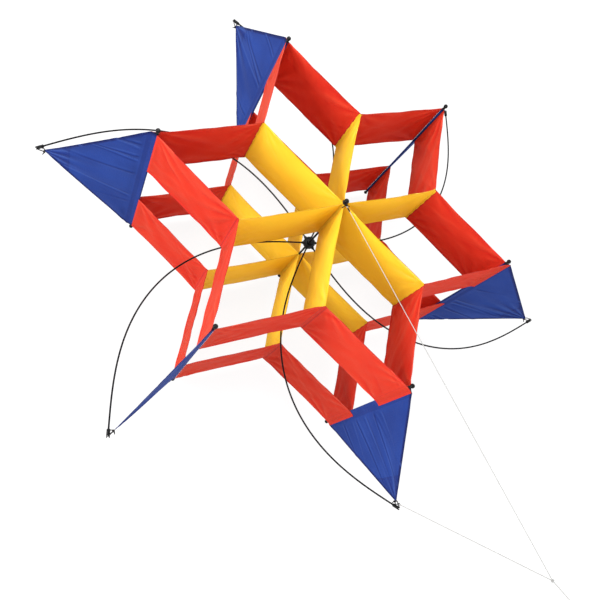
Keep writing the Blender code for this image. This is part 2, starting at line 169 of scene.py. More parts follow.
class Finish:
    """A material under construction: add() makes a node, and a socket is given as a number, a
    colour or another node's output."""

    def __init__(self, name):
        self.material = bpy.data.materials.new(name)
        self.material.use_nodes = True
        self.tree = self.material.node_tree
        self.tree.nodes.clear()
        self.output = self.tree.nodes.new("ShaderNodeOutputMaterial")

    def add(self, kind, sockets=None, **settings):
        """A node of this kind, with its settings, its inputs' values and its links."""
        made = self.tree.nodes.new("ShaderNode" + kind)
        for setting, value in settings.items():
            setattr(made, setting, value)
        for socket, value in (sockets or {}).items():
            if isinstance(value, bpy.types.NodeSocket):
                self.tree.links.new(value, made.inputs[socket])
            else:
                made.inputs[socket].default_value = value
        return made

    def math(self, operation, a, b=0.0, clamp=False):
        """One sum on two numbers or outputs."""
        return self.add("Math", {0: a, 1: b}, operation=operation, use_clamp=clamp).outputs[0]

    def ramp(self, value, low, high, to_low, to_high):
        """A smooth step from to_low, where the value is low, to to_high, where it is high."""
        sockets = {"Value": value, "From Min": low, "From Max": high, "To Min": to_low, "To Max": to_high}
        return self.add("MapRange", sockets, interpolation_type="SMOOTHSTEP").outputs["Result"]

    def blend(self, share, first, second):
        """The first colour with a share of the second one laid over it."""
        made = self.add("Mix", {0: share}, data_type="RGBA", blend_type="MIX", clamp_factor=True)
        for socket, value in ((6, first), (7, second)):
            if isinstance(value, bpy.types.NodeSocket):
                self.tree.links.new(value, made.inputs[socket])
            else:
                made.inputs[socket].default_value = (*value, 1.0)
        return made.outputs[2]

    def times(self, a, b):
        """One number or output times another."""
        return self.math("MULTIPLY", a, b)

    def place(self):
        """Where a point is in the kite, in metres."""
        return self.add("TexCoord").outputs["Object"]

    def surface(self):
        """Where a point is on the piece's own surface, in metres along it and across it."""
        return self.add("UVMap", uv_map="cloth").outputs[0]

    def noise(self, where, scale, detail=4.0, rough=0.5):
        """Cloudy noise, with so many grains a metre."""
        sockets = {"Vector": where, "Scale": scale, "Detail": detail, "Roughness": rough}
        return self.add("TexNoise", sockets).outputs["Fac"]

    def fibres(self, along, across, detail):
        """Noise that is drawn out along the surface, with so many grains a metre each way."""
        drawn = self.add("Mapping", {"Vector": self.surface(), "Scale": (along, across, 1.0)})
        return self.noise(drawn.outputs[0], 1.0, detail)

    def coated(self, colour, roughness, specular, height, strength, depth, **more):
        """The shader of a coloured surface that is raised by a height, and the relief's output."""
        raised = self.add("Bump", {"Strength": strength, "Distance": depth, "Height": height}).outputs[0]
        sockets = {"Base Color": colour, "Roughness": roughness, "Specular IOR Level": specular}
        sockets.update({socket.replace("_", " "): value for socket, value in more.items()})
        return self.add("BsdfPrincipled", {**sockets, "Normal": raised}), raised

    def end(self, shader):
        """The finished material, with this shader for its surface."""
        self.tree.links.new(shader.outputs[0], self.output.inputs["Surface"])
        return self.material


def braid_finish(name, light, dark, pitch, strands, roughness, sheen):
    """Braided cord: two sets of yarns cross as they climb round it in opposite ways, so its relief is the
    product of two slanting waves in the length and the girth of its own surface. The hollows between the
    yarns are painted darker as shade, and soiled patches are darkened as dirt."""
    made = Finish(name)
    split = made.add("SeparateXYZ", {0: made.surface()})
    climb = made.times(split.outputs[0], 2 * math.pi / pitch)
    round_it = made.times(split.outputs[1], strands)
    one = made.math("SINE", made.math("ADD", climb, round_it))
    other = made.math("SINE", made.math("SUBTRACT", climb, round_it))
    yarns = made.times(one, other)
    fuzz = made.noise(made.place(), 2600.0, 3.0)
    wear = made.noise(made.place(), 45.0, 3.0)
    # painted shade: the hollows between the crossing yarns are coloured towards the dark colour
    hollow_shade = made.ramp(yarns, -0.9, 0.3, 1.0, 0.0)
    soiled = made.times(made.ramp(wear, 0.45, 0.75, 0.0, 1.0), 0.25)
    shade = made.math("ADD", made.times(hollow_shade, 0.7), soiled, clamp=True)
    colour = made.blend(shade, light, dark)
    height = made.math("ADD", yarns, made.times(fuzz, 0.8))
    shader, _ = made.coated(colour, roughness, 0.15, height, 0.6, 0.00008,
                            Sheen_Weight=sheen, Sheen_Roughness=0.4)
    return made.end(shader)


white_line = braid_finish("white_braided_line", (0.31, 0.31, 0.30), (0.17, 0.17, 0.17),
                          pitch=0.0016, strands=5000.0, roughness=0.6, sheen=0.05)


def braided_radius(path, radius, sides, closed=False):
    """The radius of a braid at each place on it: eight soft ribs that climb each way and cross."""
    climb = 2 * math.pi * run_of(path, closed)[:len(path), None] / braid_pitch
    round_it = 4 * 2 * math.pi * np.arange(sides)[None] / sides
    return radius * (0.97 + 0.05 * np.cos(climb + round_it) * np.cos(climb - round_it))


def line_route(start, end):
    """Points every half millimetre along a line that the flier's pull keeps straight."""
    steps = max(2, round(np.linalg.norm(end - start) / 0.0005))
    return start + (end - start) * np.linspace(0, 1, steps + 1)[:, None]


across = np.array([1.0, 0.0, 0.0])
line_routes = {
    "bridle_upper_line": (upper_leg_start, tow_point + unit(upper_leg_start - tow_point) * knot_reach),
    "bridle_lower_line": (lower_leg_start, tow_point + unit(lower_leg_start - tow_point) * knot_reach),
    "flying_line_start": (tow_point + line_direction * knot_reach, tow_point + line_direction * line_end),
}
for name, (start, end) in line_routes.items():
    route = line_route(start, end)
    body = "flying_line" if name.startswith("flying") else "bridle"
    patch = sweep(route, braided_radius(route, line_radius, line_sides), across, sides=line_sides)
    skin(name, [patch], white_line, body)
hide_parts("bridle_upper_leg")
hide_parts("bridle_lower_leg")
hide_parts("flying_line")


def knot_path(size, count, centre, axis, side):
    """A trefoil, the simplest knot: the point circles the axis twice while it weaves in and out
    three times. It is turned so that its flat side faces along the axis."""
    t = 2 * math.pi * np.arange(count) / count
    reach = 2 + np.cos(3 * t)
    flat = np.stack([reach * np.cos(2 * t), reach * np.sin(2 * t), 1.3 * np.sin(3 * t)], 1) * size / 3
    third = np.cross(axis, side)
    return centre + flat[:, :1] * side + flat[:, 1:2] * third + flat[:, 2:] * axis


def tied(path, centre, axis, radius, sides=10):
    """A cord carried along a knot's path, its rings starting on the side away from the centre."""
    return sweep(path, radius, path - centre + axis * 1e-4, sides, closed=True)


knot_route = knot_path(0.0021, 120, tow_point, across, line_direction)
knot_radius = braided_radius(knot_route, line_radius * 1.1, 12, True)
tow_knot = skin("tow_knot_tied", [tied(knot_route, tow_point, across, knot_radius, 12)],
                white_line, "bridle", "tow_knot")

eye_turn = 2 * math.pi * np.arange(96) / 96
eye_start = tow_point + line_direction * (line_end + line_radius + 0.0003)
eye_route = (
    eye_start + np.outer(end_loop_length / 2 * (1 - np.cos(eye_turn)), line_direction)
    + np.outer(end_loop_width / 2 * np.sin(eye_turn), across)
)
eye_side = np.cross(across, line_direction)
eye_knot = knot_path(0.0016, 90, eye_start + line_direction * 0.0012, line_direction, across)
end_loop = skin(
    "flying_line_eye",
    [sweep(eye_route, braided_radius(eye_route, line_radius, 12, True), eye_side, 12, closed=True),
     tied(eye_knot, eye_start, eye_side, line_radius * 0.9)],
    white_line, "flying_line", "flying_line_loop")


# ---------------------------------------------------------------- sticks
# The spine and the six tip spars are pultruded glass-fibre rods, black right through, with the
# fibres' faint streaks along them. Their ends sit inside the ball caps.

def rod_finish():
    """Black resin over straight fibres: noise drawn out a hundred times along the rod."""
    made = Finish("black_glass_fibre")
    fibres = made.fibres(12.0, 2400.0, 3.0)
    rubbed = made.noise(made.place(), 38.0, 4.0)
    resin, glass, scuffed = (0.0035, 0.0035, 0.0040), (0.012, 0.012, 0.013), (0.022, 0.022, 0.022)
    colour = made.blend(made.ramp(fibres, 0.35, 0.75, 0.0, 1.0), resin, glass)
    colour = made.blend(made.ramp(rubbed, 0.58, 0.8, 0.0, 0.5), colour, scuffed)
    rough = made.ramp(rubbed, 0.3, 0.8, 0.26, 0.48)
    return made.end(made.coated(colour, rough, 0.06, fibres, 0.35, 0.00004)[0])


glass_fibre = rod_finish()
spine_low, spine_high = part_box("spine")
spar_radius = 0.0015
stick_chamfer = 0.0004
rod_crease = 40            # degrees
tips = {}                  # the name of each star tip, with its direction from the spine
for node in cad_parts:
    if node.startswith("tip_spar_"):
        low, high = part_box(node)
        centre = (low + high) / 2
        tips[node.removeprefix("tip_spar_")] = math.atan2(centre.y, centre.x)
tip_radius = centre.xy.length


def straight_stick(radius, x, y, bottom, top):
    """An upright rod whose two ends are chamfered."""
    heights = np.concatenate([
        [bottom, bottom + stick_chamfer],
        np.linspace(bottom + 10 * stick_chamfer, top - 10 * stick_chamfer, 20),
        [top - stick_chamfer, top]])
    radii = np.full(len(heights), radius)
    radii[[0, -1]] -= stick_chamfer
    path = np.stack([np.full_like(heights, x), np.full_like(heights, y), heights], 1)
    return sweep(path, radii, (1, 0, 0), sides=32)


skin("spine_rod", [straight_stick(spine_high.x, 0, 0, spine_low.z, spine_high.z)],
     glass_fibre, "airframe", "spine", sharp=rod_crease)
for tip, angle in tips.items():
    low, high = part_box("tip_spar_" + tip)
    x, y = (low.x + high.x) / 2, (low.y + high.y) / 2
    skin("spar_rod_" + tip, [straight_stick(spar_radius, x, y, low.z, high.z)],
         glass_fibre, "airframe", "tip_spar_" + tip, sharp=rod_crease)


# ---------------------------------------------------------------- ball caps
# Soft black vinyl caps, dipped and slipped over every stick end: a round ball that meets the
# ground or the hand, a short neck, and a skirt with a rolled lip that grips the stick.

def moulded_finish(name, colour, scuffed, roughness, grain):
    """Moulded black plastic: a fine even grain, and paler duller scuffs in patches."""
    made = Finish(name)
    worn = made.ramp(made.noise(made.place(), 210.0, 6.0, 0.65), 0.55, 0.78, 0.0, 1.0)
    shade = made.blend(worn, colour, scuffed)
    rough = made.math("ADD", made.times(worn, 0.18), roughness)
    even_grain = made.noise(made.place(), grain, 2.0)
    return made.end(made.coated(shade, rough, 0.10, even_grain, 0.25, 0.00005)[0])


vinyl = moulded_finish("black_dipped_vinyl", (0.0035, 0.0035, 0.0040), (0.018, 0.018, 0.018), 0.30, 2600.0)
cap_wall = 0.0009
cap_bore_depth = 0.009
cap_flat = 0.0022          # radius of the flat that a cap stands on
spine_cap_bore = 0.0023
spar_cap_bore = 0.0018
pole = 0.0002              # a turned piece's first and last rings, which lids close


def turned(profile, sides=40, turn=None, place=(0, 0, 0), closed=False):
    """A profile of (radius, height) points carried round the Z axis, then turned and moved. A
    closed profile's last point joins its first."""
    profile = np.asarray(profile, float)
    angle = 2 * math.pi * np.arange(sides) / sides
    rings = np.stack([profile[:, :1] * np.cos(angle), profile[:, :1] * np.sin(angle),
                      np.broadcast_to(profile[:, 1:], (len(profile), sides))], -1)
    if turn is not None:
        rings = rings @ np.asarray(turn).T
    girth = 2 * math.pi * profile[:, 0].max() * np.arange(sides + 1) / sides
    uv = np.stack(np.meshgrid(run_of(profile, closed), girth, indexing="ij"), -1)
    return {"points": rings + np.asarray(place, float), "uv": uv, "closed": closed}


def arc(centre, radius, start, end, count):
    """Points on part of a circle, with the angles in degrees."""
    angle = np.radians(np.linspace(start, end, count))
    return [(centre[0] + radius * math.cos(a), centre[1] + radius * math.sin(a)) for a in angle]


def cap_profile(ball, bore, length):
    """From the bottom of the bore, down its wall to the mouth, round the rolled lip, along the
    skirt and the neck, and over the ball to the flat that it stands on. The mouth is down."""
    skirt = bore + cap_wall
    lip = (skirt - bore) / 2
    centre = length - math.sqrt(ball**2 - cap_flat**2)
    neck = skirt - 0.00025
    shoulder = math.acos((neck + 0.0003) / ball)
    return (
        [(pole, cap_bore_depth), (bore, cap_bore_depth), (bore, lip * 1.4)]
        + arc((bore + lip * 1.3, lip * 1.3), lip * 1.3, 180, 360, 9)
        + [(skirt + lip * 0.5, lip * 1.8), (neck, lip * 3.2)]
        + [(neck, centre - ball * math.sin(shoulder) - 0.0004)]
        + arc((0, centre), ball, -math.degrees(shoulder), math.degrees(math.acos(cap_flat / ball)), 16)
        + [(cap_flat - 0.0004, length), (pole, length)]
    )


def ball_cap(node, bore):
    """A cap in the place of its CAD node, mouth towards the middle of the kite."""
    low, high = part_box(node)
    front = low.z > spine_high.z / 2
    profile = cap_profile((high.x - low.x) / 2, bore, high.z - low.z)
    turn = np.diag([1.0, 1.0, 1.0]) if front else np.diag([1.0, -1.0, -1.0])
    place = ((low.x + high.x) / 2, (low.y + high.y) / 2, low.z if front else high.z)
    patch = turned(profile[::-1], turn=turn, place=place)
    skin("ball_" + node, [patch], vinyl, "airframe", node, sharp=rod_crease)


for node in sorted(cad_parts):
    if "_cap" in node:
        ball_cap(node, spine_cap_bore if node.startswith("spine") else spar_cap_bore)


# ---------------------------------------------------------------- red star bands
# Polyester taffeta, sewn from twelve panels a band. Each panel runs from a yellow spoke to a tip
# spar. On one side of every tip the panel is carried over the spar as a stitched flap.

edge_layers = 4.4          # a raw or doubled edge and a seam, which the cloth's finish paints with a dark line of shade
heavy_thread_pitch = 0.005
weave_pitch = 0.00042


def kite_cloth(name, light, deep, glow, wear, gloss, sheen, clear):
    """Thin woven cloth. Its colour drifts at random between two tones of its dye and deepens where layers are
    sewn together, partly from the doubled dye and partly as painted shade; a painted dark line of shade runs
    along its edges and seams; the crests of its folds are painted paler, as a highlight and as rubbed wear,
    and their valleys darker, as shade; a grid of heavier threads every 5 mm and the weave itself raise it;
    and part of the light that falls on its back comes through."""
    made = Finish(name)
    split = made.add("SeparateXYZ", {0: made.surface()})
    heavy, fine = [], []
    for axis in (0, 1):
        pitch = made.math("PINGPONG", made.times(split.outputs[axis], 1 / heavy_thread_pitch), 0.5)
        heavy.append(made.ramp(pitch, 0.02, 0.07, 1.0, 0.0))
        fine.append(made.math("SINE", made.times(split.outputs[axis], 2 * math.pi / weave_pitch)))
    grid = made.math("MAXIMUM", *heavy)
    weave = made.times(*fine)
    layer = made.add("Attribute", attribute_name="layers").outputs["Fac"]
    thick = made.ramp(layer, 1.0, 3.0, 0.0, 1.0)
    drift = made.noise(made.place(), 9.0, 3.0)
    crinkle = made.noise(made.surface(), 55.0, 5.0, 0.55)
    slub = made.fibres(30.0, 900.0, 2.0)
    colour = made.blend(made.ramp(drift, 0.3, 0.7, 0.0, 0.4), light, deep)
    # deeper where layers lie on each other: partly the doubled dye, partly painted shade for the light that
    # the extra layers hold back
    colour = made.blend(made.times(thick, 0.9), colour, deep)
    # painted shade: a dark line along raw and hem edges and along seams, where the count reaches edge_layers
    deepest = tuple(share * 0.45 for share in deep)
    colour = made.blend(made.ramp(layer, 3.2, edge_layers, 0.0, 0.85), colour, deepest)
    colour = made.blend(made.times(grid, 0.16), colour, deep)
    colour = made.blend(made.ramp(slub, 0.45, 0.8, 0.0, 0.12), colour, light)
    # painted highlight and painted shade from the fold's bend: crests are laid over with the paler wear
    # colour, partly as rubbed wear and partly as a highlight, and valleys with the deeper dye as shade
    fold = made.add("Attribute", attribute_name="fold").outputs["Fac"]
    colour = made.blend(made.ramp(fold, 0.05, 0.9, 0.0, 0.36), colour, wear)
    colour = made.blend(made.ramp(fold, -0.9, -0.05, 0.55, 0.0), colour, deep)
    rubbed = made.ramp(crinkle, 0.60, 0.78, 0.0, 0.5)
    rubbed = made.times(rubbed, made.ramp(layer, 1.5, 3.0, 0.15, 1.0))
    colour = made.blend(rubbed, colour, wear)
    height = made.math("ADD", made.times(weave, 0.06), made.times(grid, 0.12))
    height = made.math("ADD", height, made.times(crinkle, 2.2))
    face, raised = made.coated(colour, 0.55, 0.04, height, 0.5, 0.0005,
                               Sheen_Weight=sheen, Sheen_Roughness=0.5, Sheen_Tint=(*gloss, 1.0))
    lit = made.blend(made.times(thick, 0.5), glow, deep)
    through = made.add("BsdfTranslucent", {"Color": lit, "Normal": raised})
    share = made.ramp(layer, 1.0, 3.0, clear, clear * 0.2)
    return made.end(made.add("MixShader", {0: share, 1: face.outputs[0], 2: through.outputs[0]}))


def thread_finish(name, colour, dark):
    """Spun sewing thread: a tight slanting twist, with painted shade in the grooves between its plies."""
    made = Finish(name)
    split = made.add("SeparateXYZ", {0: made.surface()})
    slant = made.math("ADD", made.times(split.outputs[0], 9000.0), made.times(split.outputs[1], 6000.0))
    ply = made.ramp(made.math("SINE", slant), -0.8, 0.4, 1.0, 0.0)
    # painted shade: the grooves between the plies are coloured towards the dark colour
    shade = made.blend(made.times(ply, 0.6), colour, dark)
    height = made.math("ADD", made.noise(made.place(), 3000.0), ply)
    return made.end(made.coated(shade, 0.6, 0.12, height, 0.5, 0.00004)[0])


# light and deep dyes, the colour of light that comes through, and a paler colour that is rubbed wear and also
# the painted highlight on fold crests
red_cloth = kite_cloth(
    "red_taffeta", (0.58, 0.038, 0.018), (0.46, 0.014, 0.012), (0.66, 0.048, 0.018), (0.74, 0.09, 0.045),
    gloss=(1.0, 0.42, 0.22), sheen=0.22, clear=0.45)
red_thread = thread_finish("red_thread", (0.55, 0.015, 0.012), (0.22, 0.006, 0.006))

one_layer = 0.00024        # visible thickness of a single cloth
hem_layers = 3
cloth_crease = 60          # degrees
rolled_hem = 0.0030
edge_sag = 0.0012          # how far a band's hem hangs in between its sticks
front_band_low, front_band_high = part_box("front_star_band")
rear_band_low, rear_band_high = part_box("rear_star_band")
inner_radius = 0.1955      # spine axis to the star's inner corners
sleeve_radius = 0.0021     # a wing's sleeve round its tip spar
sleeve_close = 0.0068      # spar axis to where the sleeve's two sides meet
flap_end = 0.0100          # spar axis to a flap's raw edge
flap_rows = (flap_end + 0.0055, 0.0062, 0.0016)   # its stitches, back from that edge
corner_row = 0.0034        # stitches by the inner corner


def smooth_step(value):
    """Nought below 0, one above 1, and an easy S between."""
    value = np.clip(value, 0, 1)
    return value * value * (3 - 2 * value)


def at_tip(points, angle):
    """Points made with the tip out along +X, turned about the spine to where the tip is."""
    cos, sin = math.cos(angle), math.sin(angle)
    return np.asarray(points, float) @ np.array([[cos, sin, 0], [-sin, cos, 0], [0, 0, 1]])


def eased(corners, reach=0.0008, step=0.0002):
    """A line through these corners, sampled at even steps, with each corner rounded by averaging
    every sample with those that are within reach of it."""
    corners = np.asarray(corners, float)
    run = run_of(corners)
    even = np.linspace(0, run[-1], max(3, round(run[-1] / step)) + 1)
    line = np.stack([np.interp(even, run, corners[:, axis]) for axis in range(corners.shape[1])], 1)
    window = 2 * round(reach / step) + 1
    pad = window // 2
    weights = np.hanning(window + 2)[1:-1]
    weights /= weights.sum()
    ends = [2 * line[0] - line[1:pad + 1][::-1], line, 2 * line[-1] - line[-pad - 1:-1][::-1]]
    padded = np.concatenate(ends)
    return np.stack([np.convolve(padded[:, axis], weights, "valid") for axis in range(line.shape[1])], 1)


def stations(line, runs):
    """The points of a finely sampled line at these distances along it."""
    run = run_of(line)
    return np.stack([np.interp(runs, run, line[:, axis]) for axis in range(line.shape[1])], 1)


def off_face(mid, closed=False):
    """The direction square to a surface at each of its points, from the cross product of its
    rise along the rows and along the columns."""
    along = np.gradient(mid, axis=0)
    if closed:
        along = np.roll(mid, -1, axis=0) - np.roll(mid, 1, axis=0)
    return unit(np.cross(along, np.gradient(mid, axis=1)))


def bend_of(relief, across_it, sharpest=60.0):
    """How sharply a relief bends across its columns: 1 on a crest, -1 in a valley, 0 on a flat. The cloth's
    finish paints a highlight on the crests and shade in the valleys from it.
    """
    slope = np.gradient(relief, axis=1) / np.gradient(across_it, axis=1)
    bend = -np.gradient(slope, axis=1) / np.gradient(across_it, axis=1)
    return np.clip(bend / sharpest, -1, 1)


def half_thickness(layers):
    """Half the thickness of sewn layers, each of which is pressed to little more than half."""
    return one_layer * (1 + 0.55 * (layers - 1)) / 2


def cloth_patch(mid, layers, closed=False, fold=0.0):
    """A sheet about its middle surface: each ring runs back along the upper face and forward
    along the lower one, half the cloth's thickness off the middle. Its map is in metres."""
    layers = np.broadcast_to(layers, mid.shape[:2])
    half = off_face(mid, closed) * half_thickness(layers)[..., None]
    points = np.concatenate([(mid + half)[:, ::-1], mid - half], axis=1)
    u = np.broadcast_to(run_of(mid, closed).mean(1, keepdims=True), (len(mid) + closed, mid.shape[1]))
    v = run_of(np.swapaxes(mid, 0, 1)).T
    v = v - v[:, v.shape[1] // 2][:, None]
    if closed:
        v = np.concatenate([v, v[:1]])
    one = np.stack([u, v], -1)
    fold = np.broadcast_to(fold, layers.shape)
    return {
        "points": points, "closed": closed,
        "uv": np.concatenate([one[:, ::-1], one, one[:, -1:]], axis=1),
        "layers": np.concatenate([layers[:, ::-1], layers], axis=1),
        # how the sheet bends, from which its finish paints a highlight on crests and shade in valleys; the
        # lower face bends the other way
        "fold": np.concatenate([fold[:, ::-1], -fold], axis=1),
    }


def stitch_row(line, normal, lift=0.0002, pitch=0.0034, length=0.0025, radius=0.00018):
    """A row of stitches along a line on the cloth: short bars of thread, thick in the middle,
    whose ends dive into the cloth."""
    run = run_of(line)
    count = int(run[-1] / pitch)
    if count < 1:
        return []
    middle = (np.arange(count) + 0.5) * run[-1] / count
    share = np.linspace(-1, 1, 5)
    where = middle[:, None] + share * length / 2

    def read(values):
        """Rows of points or directions, read off at each stitch's own five places."""
        return np.stack([np.interp(where, run, values[:, axis]) for axis in range(3)], -1)

    out = unit(read(np.broadcast_to(normal, line.shape)))
    path = read(line) + out * (lift + radius * (0.6 - 1.5 * share**4))[:, None]
    along = unit(np.gradient(path, axis=1))
    side = np.cross(along, out)
    turn = 2 * math.pi * np.arange(4) / 4
    thick = (radius * np.sqrt(1 - 0.8 * share**4))[:, None, None]
    ring = out[:, :, None] * np.cos(turn)[:, None] - side[:, :, None] * np.sin(turn)[:, None]
    uv = np.stack(np.meshgrid(share * length / 2, np.arange(5) * radius, indexing="ij"), -1)
    return [{"points": path[:, :, None] + ring * thick, "uv": uv, "closed": False}]


def both_faces(mid, normal, layers, **facts):
    """The same row of stitches seen on both faces of the cloth."""
    lift = half_thickness(layers)
    return stitch_row(mid, normal, lift, **facts) + stitch_row(mid, -normal, lift, **facts)


def grown(away, reach):
    """A height that rises to one at this reach from a corner and then dies away."""
    return away / reach * np.exp(1 - away / reach)


def pulled_relief(x, y, length, width, draw, bulge, size=0.0013):
    """How far a stretched panel stands off its flat, at x along it and y across it: one shallow
    bulge; fans of folds, each a wave in the angle about a pulled corner that grows and then dies
    away with distance from it; narrow slanting creases that fade out from a sewn end; and a faint
    crumple of crossing waves. The sewn ends lie flat."""
    flat_ends = smooth_step(np.minimum(x, length - x) / 0.014)
    relief = bulge * np.sin(np.pi * np.clip(x / length, 0, 1)) ** 0.8
    relief = relief * (0.35 + 0.65 * np.sin(np.pi * y / width))
    for corner_x in (0.0, length):
        for corner_y in (0.0, width):
            away = np.hypot(x - corner_x, y - corner_y)
            turn = np.arctan2(np.abs(y - corner_y), np.abs(x - corner_x) + 1e-9)
            count, phase = draw.uniform(8, 14), draw.uniform(0, 6.28)
            reach = draw.uniform(0.028, 0.05)
            fold = np.sin(count * turn + phase + 0.9 * np.sin(3 * turn + phase))
            relief = relief + flat_ends * draw.uniform(0.4, 1.0) * size * fold * grown(away, reach)
    for _ in range(5):
        start, heading = draw.uniform(0, width), draw.uniform(-0.8, 0.8)
        from_end = x if draw.random() < 0.6 else length - x
        ridge = np.exp(-((y - start - heading * from_end) / draw.uniform(0.0035, 0.0065)) ** 2)
        ridge = ridge * draw.choice([-1, 1])
        relief = relief + flat_ends * size * ridge * np.exp(-from_end / draw.uniform(0.03, 0.09))
    for _ in range(6):
        long_wave, heading = draw.uniform(0.018, 0.060), draw.uniform(-0.9, 0.9)
        along = x * math.sin(heading) + y * math.cos(heading)
        wave = np.cos(2 * np.pi * along / long_wave + draw.uniform(0, 6.28))
        relief = relief + flat_ends * 0.10 * size * wave
    return relief


def hemmed_columns(width, hem, spacing=0.0034):
    """Places across a panel, with extra ones where a rolled hem steps down to single cloth."""
    inner = np.linspace(hem + 0.0003, width - hem - 0.0003, round((width - 2 * hem) / spacing) + 1)
    edge = np.array([0, 0.0004, hem / 2, hem])
    return np.concatenate([edge, inner, width - edge[::-1]])


def hem_layer_count(across_it, width, hem):
    """Three layers in the rolled hems, more at their very edge, where the cloth's finish paints a dark line
    of shade, and one between them.
    """
    from_edge = np.minimum(across_it, width - across_it)
    layers = np.where(from_edge <= hem + 1e-6, float(hem_layers), 1.0)
    return np.where(from_edge <= 0.0005, edge_layers, layers)


def red_panel(angle, side, bottom, width, draw):
    """One panel of a band and its stitching, as (cloth patches, stitch patches). Side is +1 for
    the panel on the tip's left as seen from the front, and -1 for the one on its right, which
    ends in the flap over the spar."""
    corner = np.array([inner_radius * math.cos(math.pi / 6), side * inner_radius * math.sin(math.pi / 6)])
    over = sleeve_radius + one_layer * 2.2
    lean = math.radians(104 if side > 0 else -71)
    ends = [(tip_radius + over * math.cos(lean), over * math.sin(lean))]
    if side < 0:
        ends += [(tip_radius + sleeve_close, -one_layer * 2.6), (tip_radius + flap_end, -one_layer * 2.3)]
    plan = eased([corner, *ends])
    whole = run_of(plan)[-1]
    free = whole - (0 if side > 0 else flap_end + 0.0015)
    last = np.linspace(free - 0.005, whole, 7 if side > 0 else 30)
    runs = np.concatenate([np.linspace(0, free - 0.006, 56), last])
    floor_plan = stations(plan, runs)
    across_it = hemmed_columns(width, rolled_hem)
    x, y = np.meshgrid(runs, across_it, indexing="ij")
    sag = edge_sag * np.sin(np.pi * np.clip(x / free, 0, 1)) * (2 * y / width - 1)
    out, over = (np.broadcast_to(floor_plan[:, axis, None], x.shape) for axis in (0, 1))
    mid = np.stack([out, over, bottom + y - sag], -1)
    reach = np.clip(x, 0, free)
    relief = pulled_relief(reach, y, free, width, draw, side * draw.uniform(0.0006, 0.0020))
    relief = relief * smooth_step((free - x) / 0.010)
    mid = mid + off_face(mid) * relief[..., None]
    layers = hem_layer_count(y, width, rolled_hem)
    seam = (x > whole - 0.004) | (x < 0.0045)
    layers = np.maximum(layers, np.where(seam, 2.0, 1.0))
    # the cloth along each stitch row gets the edge count: a painted dark line of shade along the seam
    marks = [corner_row] + ([whole - back for back in flap_rows] if side < 0 else [])
    for mark in marks:
        layers[int(np.abs(runs - mark).argmin())] = edge_layers
    mid = at_tip(mid, angle)
    normal = off_face(mid)
    sewing = []
    for hem_place in (rolled_hem * 0.75, width - rolled_hem * 0.75):
        column = int(np.abs(across_it - hem_place).argmin())
        sewing += both_faces(mid[:, column], normal[:, column], hem_layers)
    for mark in marks:
        row = int(np.abs(runs - mark).argmin())
        sewing += both_faces(mid[row], normal[row], 2)
    return [cloth_patch(mid, layers, fold=bend_of(relief, y))], sewing


def star_band(name, low, high, seed):
    """All twelve panels of a band as one sewn piece, with its stitching as another."""
    draw = np.random.default_rng(seed)
    cloth, sewing = [], []
    for angle in tips.values():
        for side in (1, -1):
            more, stitches = red_panel(angle, side, low.z, high.z - low.z, draw)
            cloth += more
            sewing += stitches
    band = skin(name + "_red_cloth", cloth, red_cloth, "airframe", name + "_star_band",
                sharp=cloth_crease)
    thread = skin(name + "_red_stitching", sewing, red_thread, "airframe")


star_band("front", front_band_low, front_band_high, 11)
star_band("rear", rear_band_low, rear_band_high, 12)


# ---------------------------------------------------------------- yellow spoke webs
# The same cloth in yellow. Six spokes run from a sleeve on the spine to the star's inner corners,
# where each is split and sewn down on both of the red panels that meet there.

# light and deep dyes, the colour of light that comes through, and a paler colour that is rubbed wear and also
# the painted highlight on fold crests
yellow_cloth = kite_cloth(
    "yellow_taffeta", (0.82, 0.60, 0.044), (0.74, 0.44, 0.016), (0.84, 0.60, 0.026), (0.88, 0.70, 0.16),
    gloss=(1.0, 0.75, 0.20), sheen=0.08, clear=0.42)
yellow_thread = thread_finish("yellow_thread", (0.85, 0.45, 0.02), (0.50, 0.20, 0.008))
spine_sleeve_radius = 0.0027
lip_width = 0.0032         # the turned edge that is sewn to a red panel


